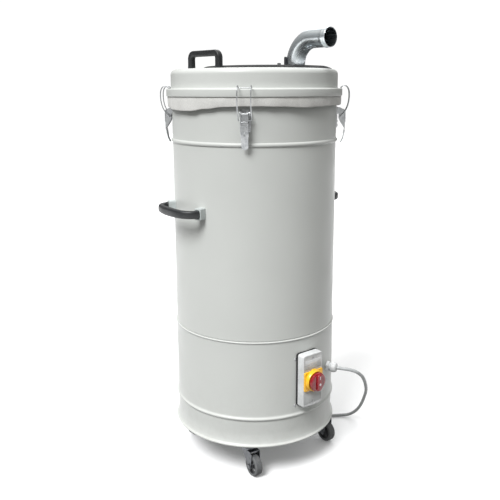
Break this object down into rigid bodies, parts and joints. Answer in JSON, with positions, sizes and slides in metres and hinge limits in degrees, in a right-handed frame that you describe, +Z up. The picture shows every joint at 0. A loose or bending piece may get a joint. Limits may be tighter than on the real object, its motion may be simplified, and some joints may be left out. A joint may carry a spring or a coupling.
{
  "type": "drum dust collector",
  "caption": "Upright drum dust collector on castors, with a clamped lid and inlet bend, a textile filter bag and a motor housing below.",
  "frame": {"origin": "on the drum's axis at floor level, under the four castor wheels", "axes": "+Z up along the drum's axis, -Y towards the front latch, +X to the right as seen from the front"},
  "size_m": [0.6064, 0.6891, 1.2106],
  "materials": {
    "grey_coat": "light grey satin powder coat",
    "zinc": "bright zinc plate",
    "aluminium": "bare aluminium",
    "motor_casing": "painted ribbed aluminium",
    "black_rubber": "matt black rubber",
    "felt": "off-white needle felt",
    "black_plastic": "black moulded plastic",
    "grey_plastic": "light grey moulded plastic",
    "white_plastic": "pale grey moulded plastic",
    "yellow_plastic": "yellow moulded plastic",
    "red_plastic": "glossy red moulded plastic",
    "cable_grey": "grey cable sheath",
    "tyre_grey": "grey rubber tyre on a black hub"
  },
  "bodies": {
    "chassis": {"motor_housing": "grey_coat", "base_plate": "grey_coat", "drum": "grey_coat", "lid": "grey_coat", "separation_plate": "zinc", "inlet_grid": "zinc", "inlet_flange": "zinc", "inlet_bend": "zinc", "fan_housing": "aluminium", "motor": "motor_casing", "fan_mount_1": "black_rubber", "fan_mount_2": "black_rubber", "fan_mount_3": "black_rubber", "filter_bag": "felt", "lid_gasket": "black_rubber", "lid_mat": "black_rubber", "bend_shield": "black_plastic", "lid_handle": "black_plastic", "latch_plate_front": "zinc", "castor_plate_front": "zinc", "latch_plate_right": "zinc", "castor_plate_right": "zinc", "latch_plate_back": "zinc", "castor_plate_back": "zinc", "latch_plate_left": "zinc", "castor_plate_left": "zinc", "side_handle_foot_left_a": "grey_plastic", "side_handle_foot_left_b": "grey_plastic", "side_handle_grip_left": "black_plastic", "side_handle_foot_right_a": "grey_plastic", "side_handle_foot_right_b": "grey_plastic", "side_handle_grip_right": "black_plastic", "switch_gasket": "black_rubber", "switch_box": "white_plastic", "switch_plate": "yellow_plastic", "gland_body": "white_plastic", "gland_nut": "white_plastic", "power_cable": "cable_grey", "cable_coil": "cable_grey", "power_plug": "black_plastic"},
    "lever_front": {"latch_lever_front": "zinc"},
    "bail_front": {"latch_bail_front": "zinc"},
    "fork_front": {"castor_fork_front": "zinc"},
    "wheel_front": {"castor_wheel_front": "tyre_grey"},
    "lever_right": {"latch_lever_right": "zinc"},
    "bail_right": {"latch_bail_right": "zinc"},
    "fork_right": {"castor_fork_right": "zinc"},
    "wheel_right": {"castor_wheel_right": "tyre_grey"},
    "lever_back": {"latch_lever_back": "zinc"},
    "bail_back": {"latch_bail_back": "zinc"},
    "fork_back": {"castor_fork_back": "zinc"},
    "wheel_back": {"castor_wheel_back": "tyre_grey"},
    "lever_left": {"latch_lever_left": "zinc"},
    "bail_left": {"latch_bail_left": "zinc"},
    "fork_left": {"castor_fork_left": "zinc"},
    "wheel_left": {"castor_wheel_left": "tyre_grey"},
    "knob": {"switch_knob": "red_plastic"},
    "fan_rotor": {"impeller": "aluminium"}
  },
  "joints": [
    {"name": "latch_front_lever", "type": "hinge", "parent": "chassis", "child": "lever_front", "pos_m": [0, -0.243, 0.9997], "axis": [-1, 0, 0], "range_deg": [0, 130]},
    {"name": "latch_front_bail", "type": "hinge", "parent": "lever_front", "child": "bail_front", "pos_m": [0, -0.2405, 0.983], "axis": [-1, 0, 0], "range_deg": [-130, 0]},
    {"name": "castor_front_swivel", "type": "hinge", "parent": "chassis", "child": "fork_front", "pos_m": [0, -0.188, 0.08], "axis": [0, 0, 1], "continuous": true},
    {"name": "castor_front_roll", "type": "hinge", "parent": "fork_front", "child": "wheel_front", "pos_m": [0.01724, -0.21006, 0.03], "axis": [0.788, 0.6157, 0], "continuous": true},
    {"name": "latch_right_lever", "type": "hinge", "parent": "chassis", "child": "lever_right", "pos_m": [0.243, 0, 0.9997], "axis": [0, -1, 0], "range_deg": [0, 130]},
    {"name": "latch_right_bail", "type": "hinge", "parent": "lever_right", "child": "bail_right", "pos_m": [0.2405, 0, 0.983], "axis": [0, -1, 0], "range_deg": [-130, 0]},
    {"name": "castor_right_swivel", "type": "hinge", "parent": "chassis", "child": "fork_right", "pos_m": [0.1989, 0.02091, 0.08], "axis": [0, 0, 1], "continuous": true},
    {"name": "castor_right_roll", "type": "hinge", "parent": "fork_right", "child": "wheel_right", "pos_m": [0.21835, 0.00076, 0.03], "axis": [0.7193, 0.6947, 0], "continuous": true},
    {"name": "latch_back_lever", "type": "hinge", "parent": "chassis", "child": "lever_back", "pos_m": [0, 0.243, 0.9997], "axis": [1, 0, 0], "range_deg": [0, 130]},
    {"name": "latch_back_bail", "type": "hinge", "parent": "lever_back", "child": "bail_back", "pos_m": [0, 0.2405, 0.983], "axis": [1, 0, 0], "range_deg": [-130, 0]},
    {"name": "castor_back_swivel", "type": "hinge", "parent": "chassis", "child": "fork_back", "pos_m": [0, 0.188, 0.08], "axis": [0, 0, 1], "continuous": true},
    {"name": "castor_back_roll", "type": "hinge", "parent": "fork_back", "child": "wheel_back", "pos_m": [0.01525, 0.16452, 0.03], "axis": [0.8387, 0.5446, 0], "continuous": true},
    {"name": "latch_left_lever", "type": "hinge", "parent": "chassis", "child": "lever_left", "pos_m": [-0.243, 0, 0.9997], "axis": [0, 1, 0], "range_deg": [0, 130]},
    {"name": "latch_left_bail", "type": "hinge", "parent": "lever_left", "child": "bail_left", "pos_m": [-0.2405, 0, 0.983], "axis": [0, 1, 0], "range_deg": [-130, 0]},
    {"name": "castor_left_swivel", "type": "hinge", "parent": "chassis", "child": "fork_left", "pos_m": [-0.1989, -0.02091, 0.08], "axis": [0, 0, 1], "continuous": true},
    {"name": "castor_left_roll", "type": "hinge", "parent": "fork_left", "child": "wheel_left", "pos_m": [-0.1849, 0.00334, 0.03], "axis": [-0.866, 0.5, 0], "continuous": true},
    {"name": "switch_turn", "type": "hinge", "parent": "chassis", "child": "knob", "pos_m": [0.18241, -0.19222, 0.28], "axis": [0.6884, -0.7254, 0], "range_deg": [-90, 0]},
    {"name": "fan_spin", "type": "hinge", "parent": "chassis", "child": "fan_rotor", "pos_m": [0, 0, 0.337], "axis": [0, 0, 1], "continuous": true}
  ],
  "couplings": [
    {"joint": "latch_front_bail", "follows": "latch_front_lever", "ratio": -1},
    {"joint": "latch_right_bail", "follows": "latch_right_lever", "ratio": -1},
    {"joint": "latch_back_bail", "follows": "latch_back_lever", "ratio": -1},
    {"joint": "latch_left_bail", "follows": "latch_left_lever", "ratio": -1}
  ]
}
